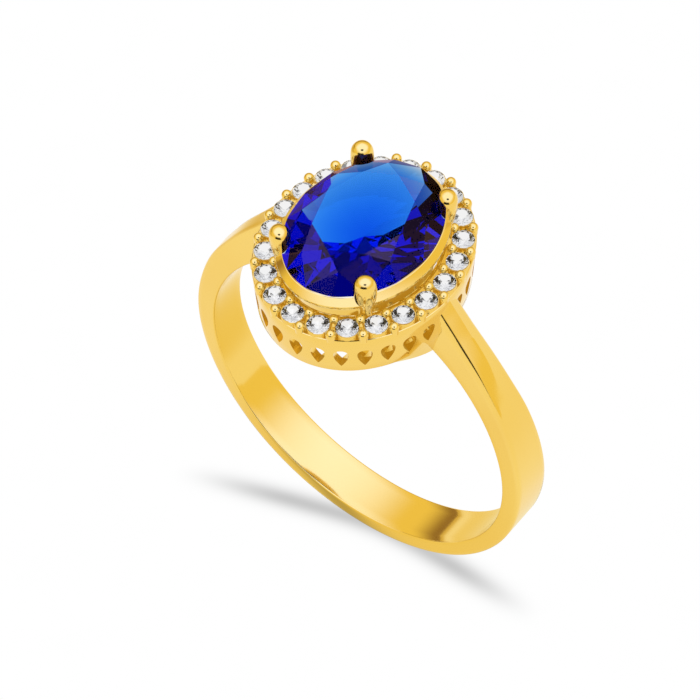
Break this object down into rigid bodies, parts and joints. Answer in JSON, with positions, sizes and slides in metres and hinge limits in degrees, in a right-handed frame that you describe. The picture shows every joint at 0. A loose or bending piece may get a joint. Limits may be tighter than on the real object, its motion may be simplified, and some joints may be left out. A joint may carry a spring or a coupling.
{
  "type": "halo engagement ring",
  "caption": "Yellow-gold engagement ring with an oval blue stone, a halo of small clear stones and a pierced gallery.",
  "frame": {"origin": "centre of the finger bore, halfway across the width of the band", "axes": "+Y along the finger bore, +Z from the bore's centre towards the centre stone, +X towards one shoulder"},
  "size_m": [0.0204, 0.0118, 0.0245],
  "materials": {
    "gold": "polished",
    "blue_stone": "polished",
    "clear_stone": "polished"
  },
  "bodies": {
    "root": {"shank": "gold", "halo_frame": "gold", "centre_cup": "gold", "claw_front_left": "gold", "claw_front_right": "gold", "claw_back_left": "gold", "claw_back_right": "gold", "centre_stone": "blue_stone", "halo_stone_01": "clear_stone", "halo_stone_02": "clear_stone", "halo_stone_03": "clear_stone", "halo_stone_04": "clear_stone", "halo_stone_05": "clear_stone", "halo_stone_06": "clear_stone", "halo_stone_07": "clear_stone", "halo_stone_08": "clear_stone", "halo_stone_09": "clear_stone", "halo_stone_10": "clear_stone", "halo_stone_11": "clear_stone", "halo_stone_12": "clear_stone", "halo_stone_13": "clear_stone", "halo_stone_14": "clear_stone", "halo_stone_15": "clear_stone", "halo_stone_16": "clear_stone", "halo_stone_17": "clear_stone", "halo_stone_18": "clear_stone", "halo_stone_19": "clear_stone", "halo_stone_20": "clear_stone", "halo_stone_21": "clear_stone", "halo_stone_22": "clear_stone"}
  },
  "joints": []
}
